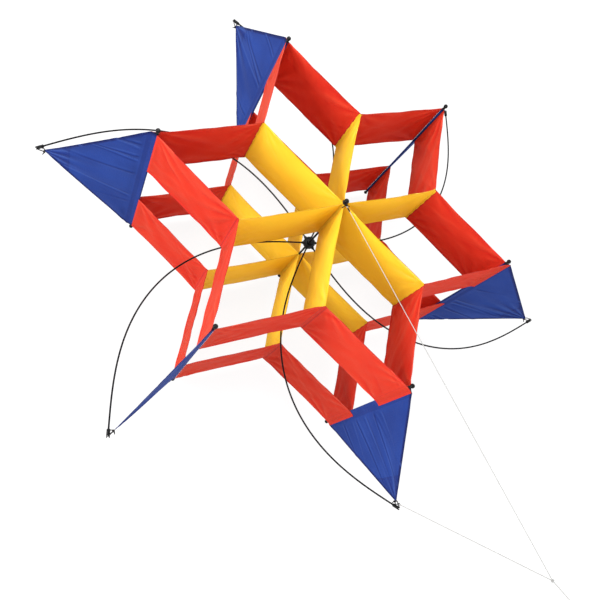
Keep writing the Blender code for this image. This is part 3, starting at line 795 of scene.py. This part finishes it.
def spoke(angle, bottom, width, draw, bulge):
    """One spoke and its stitching. Its far end carries two lips that lie on the red panels."""
    corner = inner_radius - one_layer * 1.4
    between = np.linspace(0.006, corner - 0.004, 58)
    runs = np.concatenate([[spine_sleeve_radius], between, [corner - 0.0015, corner]])
    across_it = hemmed_columns(width, rolled_hem)
    x, y = np.meshgrid(runs, across_it, indexing="ij")
    length = corner - spine_sleeve_radius
    share = (x - spine_sleeve_radius) / length
    sag = edge_sag * np.sin(np.pi * share) * (2 * y / width - 1)
    relief = pulled_relief(x - spine_sleeve_radius, y, length, width, draw, bulge, 0.0009)
    mid = at_tip(np.stack([x, relief, bottom + y - sag], -1), angle)
    normal = off_face(mid)
    layers = np.maximum(hem_layer_count(y, width, rolled_hem), np.where(x < 0.0075, 2.0, 1.0))
    cloth, sewing = [cloth_patch(mid, layers, fold=bend_of(relief, y))], []
    for column in (2, len(across_it) - 3):
        sewing += both_faces(mid[:, column], normal[:, column], hem_layers)
    sewing += both_faces(mid[1], normal[1], 2)
    wall = math.atan2(inner_radius * 0.5, tip_radius - inner_radius * math.cos(math.pi / 6))
    for side in (1, -1):
        lip_runs = np.linspace(0, lip_width, 5)
        height = np.linspace(0.001, width - 0.001, 46)
        wavy = 1 + 0.16 * np.sin(2 * np.pi * height / 0.021 + draw.uniform(0, 6.28))
        wavy = wavy + 0.08 * np.sin(2 * np.pi * height / 0.0083)
        # a red panel leaves the corner at this angle to the spoke's own line
        leave = side * (math.pi / 6 + wall)
        along = np.array([math.cos(leave), math.sin(leave)])
        inward = np.array([-math.sin(leave), math.cos(leave)]) * side
        reach = lip_runs[:, None] * wavy
        lift = one_layer * (1.5 + 0.6 * (lip_runs[:, None] / lip_width) ** 2)
        flat = np.stack([
            corner + reach * along[0] + lift * inward[0],
            reach * along[1] + lift * inward[1],
            np.broadcast_to(bottom + height, reach.shape)], -1)
        lip_mid = at_tip(flat, angle)
        cloth.append(cloth_patch(lip_mid, 1.4))
        sewing += stitch_row(lip_mid[3], at_tip([*inward, 0.0], angle), one_layer * 0.8)
    return cloth, sewing


def spoke_web(name, low, high, seed):
    """Six spokes and the spine's sleeve as one sewn piece, with its stitching as another."""
    draw = np.random.default_rng(seed)
    width = high.z - low.z
    cloth, sewing = [], []
    for step in range(6):
        # a breeze across the kite fills the spokes, so opposite ones belly the same way
        bulge = (1 if step in (1, 2, 3) else -1) * draw.uniform(0.0030, 0.0048)
        more, stitches = spoke(step * math.pi / 3, low.z, width, draw, bulge)
        cloth += more
        sewing += stitches
    turn = -2 * np.pi * np.arange(36) / 36
    turn, height = np.meshgrid(turn, hemmed_columns(width, rolled_hem, 0.01), indexing="ij")
    radius = spine_sleeve_radius
    sleeve = np.stack([radius * np.cos(turn), radius * np.sin(turn), low.z + height], -1)
    cloth.append(cloth_patch(sleeve, hem_layer_count(height, width, rolled_hem), closed=True))
    web = skin(name + "_yellow_cloth", cloth, yellow_cloth, "airframe", name + "_spoke_web",
               sharp=cloth_crease)
    thread = skin(name + "_yellow_stitching", sewing, yellow_thread, "airframe")


spoke_web("front", front_band_low, front_band_high, 21)
spoke_web("rear", rear_band_low, rear_band_high, 22)


# ---------------------------------------------------------------- blue wings
# Triangles of blue taffeta. The inner edge is folded round the tip spar and sewn down with two
# rows of stitches, the outer edges are hemmed, and a doubled patch takes the pull at the corner.

# light and deep dyes, the colour of light that comes through, and a paler colour that is rubbed wear and also
# the painted highlight on fold crests
blue_cloth = kite_cloth(
    "blue_taffeta", (0.019, 0.050, 0.240), (0.006, 0.012, 0.090), (0.013, 0.034, 0.180), (0.05, 0.10, 0.32),
    gloss=(0.20, 0.32, 0.90), sheen=0.06, clear=0.24)
blue_thread = thread_finish("blue_thread", (0.02, 0.03, 0.17), (0.008, 0.01, 0.06))
wing_low, wing_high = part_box("wing_top")
wing_reach = wing_high.y
wing_rear, wing_front = wing_low.z, wing_high.z
wing_depth = wing_front - wing_rear
wing_hem = 0.0050
patch_reach = 0.042        # length of the doubled patch at the outer corner
fold_over = 0.0125         # spar axis to the raw edge of the cloth folded round it
shoulder = 0.0105          # spar axis to where the wing starts to narrow
corner_half = 0.0030       # half of the outer corner's blunt end
flat_from = 0.0140         # spar axis to where the wing is a single cloth
sleeve_rows = (0.0016, 0.0052)   # stitches, in from the fold's raw edge


def wing(tip, angle, draw):
    """One wing and its stitching, from the fold-over's raw edge, round the spar, to the corner."""
    back = np.radians(np.linspace(71, 289, 25))
    corners = [(tip_radius + fold_over, one_layer * 1.5), (tip_radius + sleeve_close, one_layer * 1.3)]
    corners += [(tip_radius + sleeve_radius * math.cos(a), sleeve_radius * math.sin(a)) for a in back]
    corners += [(tip_radius + sleeve_close, -one_layer * 0.4), (tip_radius + 0.0100, 0.0), (wing_reach, 0.0)]
    plan = eased(corners, reach=0.0005, step=0.0001)
    whole = run_of(plan)[-1]
    span = wing_reach - tip_radius
    wrap = whole - (span - flat_from)
    patch_start = whole - patch_reach
    runs = np.concatenate([
        np.linspace(0, wrap, 60),
        np.linspace(wrap + 0.002, patch_start - 0.0004, 52), [patch_start],
        np.linspace(patch_start + 0.003, whole - 0.0008, 16), [whole]])
    floor_plan = stations(plan, runs)
    taper = np.clip(1 - (floor_plan[:, 0] - tip_radius - shoulder) / (span - shoulder), 0, 1)
    half = corner_half + (wing_depth / 2 - corner_half) * taper
    hem = np.minimum(wing_hem * math.hypot(1, wing_depth / 2 / span), half * 0.8)
    hem_steps = np.array([0, 0.08, 0.5, 1.0])
    inner = np.linspace(-1, 1, 112)[1:-1]
    place = np.empty((len(runs), len(inner) + 8))
    place[:, :4] = -half[:, None] + hem[:, None] * hem_steps
    place[:, -4:] = half[:, None] - hem[:, None] * hem_steps[::-1]
    place[:, 4:-4] = (half - hem - 0.0003)[:, None] * inner
    middle = (wing_front + wing_rear) / 2
    x, y = (np.broadcast_to(floor_plan[:, axis, None], place.shape) for axis in (0, 1))
    out, from_corner = x - tip_radius, wing_reach - x
    away, turn = np.hypot(from_corner, place), np.arctan2(place, from_corner + 0.004)
    belly = draw.uniform(0.0010, 0.0016) * np.sin(np.pi * np.clip(out / span, 0, 1))
    relief = belly * (1 - (place / np.maximum(half[:, None], 0.004)) ** 2)
    for _ in range(3):
        count, phase, reach = draw.uniform(9, 17), draw.uniform(0, 6.28), draw.uniform(0.05, 0.09)
        fold = draw.uniform(0.0003, 0.0007) * np.sin(count * turn + phase)
        relief = relief + fold * grown(away, reach)
    for end in (-1, 1):
        up = place - end * wing_depth / 2
        bearing = np.arctan2(np.abs(up), out + 0.004)
        fold = 0.0006 * np.sin(draw.uniform(9, 13) * bearing + draw.uniform(0, 6.28))
        relief = relief + fold * grown(np.hypot(out, up), 0.035)
    for _ in range(7):
        height, sized = draw.uniform(-0.13, 0.13), draw.choice([-1, 1]) * draw.uniform(0.0012, 0.0026)
        drift = height + draw.uniform(-0.25, 0.25) * out
        ridge = np.exp(-((place - drift) / draw.uniform(0.0022, 0.0042)) ** 2)
        relief = relief + sized * ridge * np.exp(-out / draw.uniform(0.03, 0.08))
    relief = relief * smooth_step((out - 0.0145) / 0.012) * smooth_step(from_corner / 0.012)
    mid = np.stack([x, y + relief, middle + place], -1)
    layers = np.ones(place.shape)
    layers[:, :4] = layers[:, -4:] = hem_layers
    # the outermost columns get the edge count: a painted dark line of shade along the hemmed edges
    layers[:, :3] = layers[:, -3:] = edge_layers
    layers[runs <= wrap] = np.maximum(layers[runs <= wrap], 2.0)
    layers[runs >= patch_start] = np.maximum(layers[runs >= patch_start], 2.2)
    mid = at_tip(mid, angle)
    normal = off_face(mid)
    cloth = [cloth_patch(mid, layers, fold=bend_of(relief, place))]
    sewing = []
    outer = runs > wrap - 0.001
    for column in (2, -3):
        sewing += both_faces(mid[outer][:, column], normal[outer][:, column], hem_layers)
    round_it = len(runs) // 3
    for mark in sleeve_rows:
        row = int(np.abs(runs - mark).argmin())
        sewing += stitch_row(mid[row, 3:-3], -normal[row, 3:-3], one_layer)
        beside = tip_radius + fold_over - mark
        row = round_it + int(np.abs(floor_plan[round_it:, 0] - beside).argmin())
        sewing += stitch_row(mid[row, 3:-3], normal[row, 3:-3], one_layer)
    row = int(np.abs(runs - patch_start - 0.003).argmin())
    sewing += both_faces(mid[row, 3:-3], normal[row, 3:-3], 2)
    sail = skin("wing_cloth_" + tip, cloth, blue_cloth, "airframe", "wing_" + tip,
                sharp=cloth_crease)
    thread = skin("wing_stitching_" + tip, sewing, blue_thread, "airframe")


wing_draw = np.random.default_rng(31)
for tip, angle in tips.items():
    wing(tip, angle, wing_draw)


# ---------------------------------------------------------------- hub
# A black moulded nylon disc that slides on the spine between the bands. Six collars round its
# rim hold the bowed rods, and a boss on each face keeps it square to the spine.

nylon = moulded_finish("black_moulded_nylon", (0.0035, 0.0035, 0.0038), (0.016, 0.016, 0.017), 0.34, 1500.0)
hub_low, hub_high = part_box("hub")
hub_middle = (hub_low.z + hub_high.z) / 2
hub_radius = hub_high.x
hub_bore = 0.0023
hub_half = 0.0046          # half of the disc's thickness
boss_half = (hub_high.z - hub_low.z) / 2
moulded_crease = 35        # degrees
bow_angle = math.radians(42.5)   # between a bowed rod's ends and the straight line through them


def mirrored(upper):
    """A profile's upper half followed by its lower half, for a piece that is the same both ways up."""
    return upper + [(radius, -height) for radius, height in reversed(upper)]


def aimed(angle):
    """The level direction at an angle, and the turn that lays an upright piece along it."""
    outward = np.array([math.cos(angle), math.sin(angle), 0.0])
    sideways = np.array([-math.sin(angle), math.cos(angle), 0.0])
    return outward, np.stack([sideways, np.array([0.0, 0.0, 1.0]), outward], 1)


# (radius, height) points: the bore, the boss's round rim, the groove at its foot, the disc's rim
hub_profile = mirrored(
    [(hub_bore, 0.0), (hub_bore, boss_half - 0.0003), (hub_bore + 0.0003, boss_half), (0.0052, boss_half)]
    + arc((0.0052, boss_half - 0.0006), 0.0006, 80, 0, 5)
    + [(0.0058, hub_half + 0.0008)]
    + arc((0.0066, hub_half - 0.0004), 0.0008, 180, 260, 4)
    + [(0.0084, hub_half - 0.0012)]
    + arc((0.0088, hub_half - 0.0004), 0.0004, 190, 90, 4)
    + [(hub_radius - 0.0010, hub_half)]
    + arc((hub_radius - 0.0010, hub_half - 0.0010), 0.0010, 80, 10, 5)
    + [(hub_radius, 0.0012), (hub_radius + 0.00012, 0.0002)]
)[1:-1]
hub_patches = [turned(hub_profile[::-1], sides=72, place=(0, 0, hub_middle), closed=True)]
# the collar's bore, its rounded mouth, and the slope down to the hub's rim
collar_profile = (
    [(0.0019, 0.0090), (0.0019, 0.0142)] + arc((0.00225, 0.0142), 0.00035, 180, 0, 7)
    + [(0.0027, 0.0136), (0.0031, 0.0100), (0.0034, 0.0090)]
)
for angle in tips.values():
    _, turn = aimed(angle - bow_angle)
    hub_patches.append(turned(collar_profile[::-1], 28, turn, (0, 0, hub_middle), closed=True))
skin("hub_moulding", hub_patches, nylon, "hub", "hub", moulded_crease)


# ---------------------------------------------------------------- bowed rods and their nocks
# Glass-fibre rods as thick as the spars, sprung into a bow between the hub and the wings'
# corners, which is what keeps the wings tight. A slotted nylon nock is pushed on each outer end.

bow_radius = 0.0015
loop_low, loop_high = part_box("corner_loop_top")
loop_cord = 0.0007
bow_reach = loop_high.y - loop_cord
nock_length = 0.0145
nock_seat = 0.0029         # its tip to the middle of the loop's cord
nock_bore = 0.0085         # how deep the rod goes in
nock_radius = 0.0030
slot_half = 0.0015
slot_depth = 0.0045
slot_floor = nock_length - slot_depth


def bow_curve():
    """A springy rod pushed together between two pivots turns by the cosine of its length, from
    -bow_angle at the hub to +bow_angle at its outer end. Gives run and plan, with the tip on +X."""
    count = 600
    turn = -bow_angle * np.cos(np.pi * (np.arange(count) + 0.5) / count)
    length = bow_reach / np.cos(turn).mean()
    steps = np.stack([np.cos(turn), np.sin(turn)], 1) * length / count
    return length, np.concatenate([[[0, 0]], np.cumsum(steps, axis=0)])


bow_length, bow_plan = bow_curve()
nock_start = bow_length + nock_seat - nock_length
rod_start = 0.0056
rod_stop = nock_start + nock_bore - 0.0003
rod_runs = np.concatenate([[rod_start, rod_start + stick_chamfer], np.linspace(0.012, rod_stop - 0.0037, 110),
                           [rod_stop - stick_chamfer, rod_stop]])
rod_plan = stations(bow_plan, rod_runs)
rod_radii = np.full(len(rod_runs), bow_radius)
rod_radii[[0, -1]] -= stick_chamfer
# the bottom of the bore, its mouth, two grooved grips, and the floor of the slot
nock_profile = (
    [(pole, nock_bore), (0.0018, nock_bore), (0.0018, 0.0003)]
    + arc((0.00215, 0.00035), 0.00035, 200, 330, 6)
    + [(0.00285, 0.0006), (nock_radius, 0.0010), (nock_radius, 0.0019)]
    + arc((nock_radius + 0.00005, 0.0023), 0.0003, 250, 110, 5)
    + arc((nock_radius + 0.00005, 0.0035), 0.0003, 250, 110, 5)
    + [(nock_radius, 0.0060), (nock_radius, slot_floor)]
    + [(nock_radius - 0.0002, slot_floor + 0.0003), (pole, slot_floor + 0.0003)]
)


def prong(side):
    """Half of a nock's fork: a D-shaped bar, flat towards the slot, whose end is rounded."""
    spread = math.acos(slot_half / nock_radius)
    bow = np.linspace(-spread, spread, 13)
    chord = np.linspace(nock_radius * math.sin(spread), -nock_radius * math.sin(spread), 9)[1:-1]
    outline = np.concatenate([
        np.stack([nock_radius * np.cos(bow), nock_radius * np.sin(bow)], 1),
        np.stack([np.full(7, slot_half), chord], 1)])
    middle = np.array([(slot_half + nock_radius) / 2, 0.0])
    run = np.array([-0.0006, 0.0, 0.0015, 0.0030, 0.0036, 0.0040, 0.0043, 0.0045])
    scale = np.array([1.0, 1.0, 1.0, 0.98, 0.92, 0.80, 0.60, 0.25])
    rings = middle + (outline - middle) * scale[:, None, None]
    if side < 0:
        rings = rings * [-1, 1]
        rings = rings[:, ::-1]
    heights = np.broadcast_to((slot_floor + run)[:, None, None], (*rings.shape[:2], 1))
    points = np.concatenate([rings, heights], -1)
    uv = np.stack(np.meshgrid(run, np.arange(21) * 0.0005, indexing="ij"), -1)
    return points, uv


for tip, angle in tips.items():
    body = "bow_" + tip
    flat = np.concatenate([rod_plan, np.zeros((len(rod_plan), 1))], 1)
    path = at_tip(flat, angle) + [0, 0, hub_middle]
    skin("bow_stick_" + tip, [sweep(path, rod_radii, (0, 0, 1))],
         glass_fibre, body, "bow_rod_" + tip, sharp=rod_crease)
    outward, turn = aimed(angle + bow_angle)
    seat = at_tip([bow_reach, 0.0, 0.0], angle) + [0, 0, hub_middle]
    place = seat + outward * (nock_seat - nock_length)
    patches = [turned(nock_profile[::-1], 36, turn, place)]
    for side in (1, -1):
        points, uv = prong(side)
        patches.append({"points": points @ turn.T + place, "uv": uv, "closed": False})
    skin("nock_" + tip, patches, nylon, body, "bow_end_" + tip, moulded_crease)


# ---------------------------------------------------------------- corner loops and ties
# Black braided cord. A loop with its knot and two tails holds each nock to its wing's corner, a
# ring is tied round the front cap's neck, and another ring on the bottom loop takes the bridle.

black_cord = braid_finish("black_braided_cord", (0.010, 0.010, 0.011), (0.002, 0.002, 0.002),
                          pitch=0.0018, strands=4300.0, roughness=0.62, sheen=0.02)
loop_half_height = (loop_high.z - loop_low.z) / 2 - loop_cord
loop_inner = loop_low.y + loop_cord
loop_bend = 0.0022
black_knot = 0.0019
hub_level = [0, 0, hub_middle]


def loop_route():
    """A long loop standing in the wing's plane: straight runs joined by quarter turns."""
    places = []
    for outer, up, turn in ((True, 1, 90), (True, -1, 0), (False, -1, -90), (False, 1, -180)):
        centre_x = bow_reach - loop_bend if outer else loop_inner + loop_bend
        centre_z = up * (loop_half_height - loop_bend)
        places += arc((centre_x, centre_z), loop_bend, turn, turn - 90, 10)
    corners = np.array(places + places[:1])
    line = stations(corners, np.linspace(0, run_of(corners)[-1], 120, endpoint=False))
    return np.stack([line[:, 0], np.zeros(len(line)), line[:, 1]], 1)


for tip, angle in tips.items():
    route = at_tip(loop_route(), angle) + hub_level
    radial, side, upright = at_tip(np.eye(3), angle)
    patches = [sweep(route, braided_radius(route, loop_cord * 1.3, 14, True), side, 14, closed=True)]
    knot_at = at_tip([loop_inner + 0.0006, 0.0, -loop_half_height], angle) + hub_level
    knot = knot_path(black_knot, 90, knot_at, radial, upright)
    patches.append(tied(knot, knot_at, radial, loop_cord * 1.5))
    for tail_side in (1, -1):
        bend = np.linspace(0, 1, 12)[:, None]
        tail = knot_at + side * tail_side * 0.0016 + (side * tail_side * 0.0030 - upright * 0.0024) * bend
        tail = tail + (radial * 0.0018 - upright * 0.0008) * bend**2
        patches.append(sweep(tail, np.linspace(0.00075, 0.00085, 12), radial, 10))
    skin("corner_cord_" + tip, patches, black_cord, "airframe", "corner_loop_" + tip)

tie_low, tie_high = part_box("bridle_front_tie")
tie_height = (tie_low.z + tie_high.z) / 2
tie_cord = 0.0009
tie_radius = tie_high.x - tie_cord
turn = 2 * math.pi * np.arange(72) / 72
ring_route = np.stack([tie_radius * np.cos(turn), tie_radius * np.sin(turn), np.full(72, tie_height)], 1)
front_knot = np.array([0.0, -tie_radius - 0.00095, tie_height])
inwards = np.array([0.0, 1.0, 0.0])
patches = [
    sweep(ring_route, braided_radius(ring_route, tie_cord * 0.95, 14, True), (0, 0, 1), 14, closed=True),
    tied(knot_path(black_knot, 90, front_knot, inwards, across), front_knot, inwards, 0.0007),
]
for tail_side, reach in ((1, 0.0055), (-1, 0.0070)):
    bend = np.linspace(0, 1, 14)[:, None]
    tail = front_knot + [tail_side * 0.0012, -0.0004, 0] + bend * [tail_side * reach, -0.0012, -0.0006]
    tail = tail + bend**2 * np.array([0, -0.0008, -0.0022])
    patches.append(sweep(tail, np.linspace(0.0007, 0.0008, 14), (0, 0, 1), 10))
skin("front_tie_cord", patches, black_cord, "airframe", "bridle_front_tie")

ring_low, ring_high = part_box("bridle_bottom_tie")
ring_centre = np.array(ring_low + ring_high) / 2
ring_radius = (ring_high.x - ring_low.x) / 2 - tie_cord
ring_route = ring_centre + np.stack([ring_radius * np.cos(turn), np.zeros(72), ring_radius * np.sin(turn)], 1)
ring = sweep(ring_route, braided_radius(ring_route, tie_cord * 0.95, 14, True), (0, 1, 0), 14, closed=True)
skin("bottom_tie_cord", [ring], black_cord, "airframe", "bridle_bottom_tie")

for name, start in (("upper", upper_leg_start), ("lower", lower_leg_start)):
    way = unit(tow_point - start)
    hitch_at = start + way * 0.0016
    hitch = tied(knot_path(0.0013, 80, hitch_at, way, across), hitch_at, way, 0.0005)
    skin("bridle_%s_hitch" % name, [hitch], white_line, "bridle")
run = np.linspace(0, 1, 24)
way = unit(tow_point - upper_leg_start)
whip_route = upper_leg_start + np.outer(0.0035 + 0.0085 * run, way)
whip_radius = 0.00105 + 0.00012 * np.abs(np.sin(run * math.pi * 9))
whip_radius[[0, -1]] = 0.0007
skin("bridle_whipping", [sweep(whip_route, whip_radius, across, 16)], black_cord, "bridle")


# ---------------------------------------------------------------- floor and light
# A plain pale studio floor that glows as white as its surround, and three soft lamps: the key at
# the kite's left, a wide fill above its top tip, and a weaker one below its bottom tip.

white = (1.0, 1.0, 1.0, 1.0)
kite_middle = (0, 0, 0.2)

floor_mesh = bpy.data.meshes.new("studio_floor")
floor_mesh.from_pydata([(-20, -20, 0), (20, -20, 0), (20, 20, 0), (-20, 20, 0)], [], [(0, 1, 2, 3)])
floor = bpy.data.objects.new("studio_floor", floor_mesh)
bpy.context.scene.collection.objects.link(floor)
made = Finish("pale_floor")
tone = made.blend(made.noise(made.place(), 3.0, 3.0), (0.085, 0.085, 0.085), (0.10, 0.10, 0.10))
floor_mesh.materials.append(made.end(made.add("BsdfPrincipled", {
    "Base Color": tone, "Roughness": 0.9, "Specular IOR Level": 0.0,
    "Emission Color": white, "Emission Strength": 0.90})))


def soft_lamp(name, place, size, power):
    """A square soft lamp that faces the kite's middle."""
    lamp = bpy.data.lights.new(name, "AREA")
    lamp.size = size
    lamp.energy = power
    obj = bpy.data.objects.new(name, lamp)
    obj.location = place
    obj.rotation_euler = (Vector(kite_middle) - Vector(place)).to_track_quat("-Z", "Y").to_euler()
    bpy.context.scene.collection.objects.link(obj)


soft_lamp("key_lamp", (-2.1, 0.1, 1.0), 0.9, 68.0)
soft_lamp("fill_lamp", (0.3, 1.3, 2.3), 1.6, 70.0)
soft_lamp("low_lamp", (0.1, -2.3, 1.0), 1.4, 32.0)

world = bpy.data.worlds.new("white_surround")
world.use_nodes = True
surround = world.node_tree.nodes["Background"].inputs
surround["Color"].default_value = white
surround["Strength"].default_value = 1.2
bpy.context.scene.world = world
bpy.context.scene.view_settings.view_transform = "Standard"
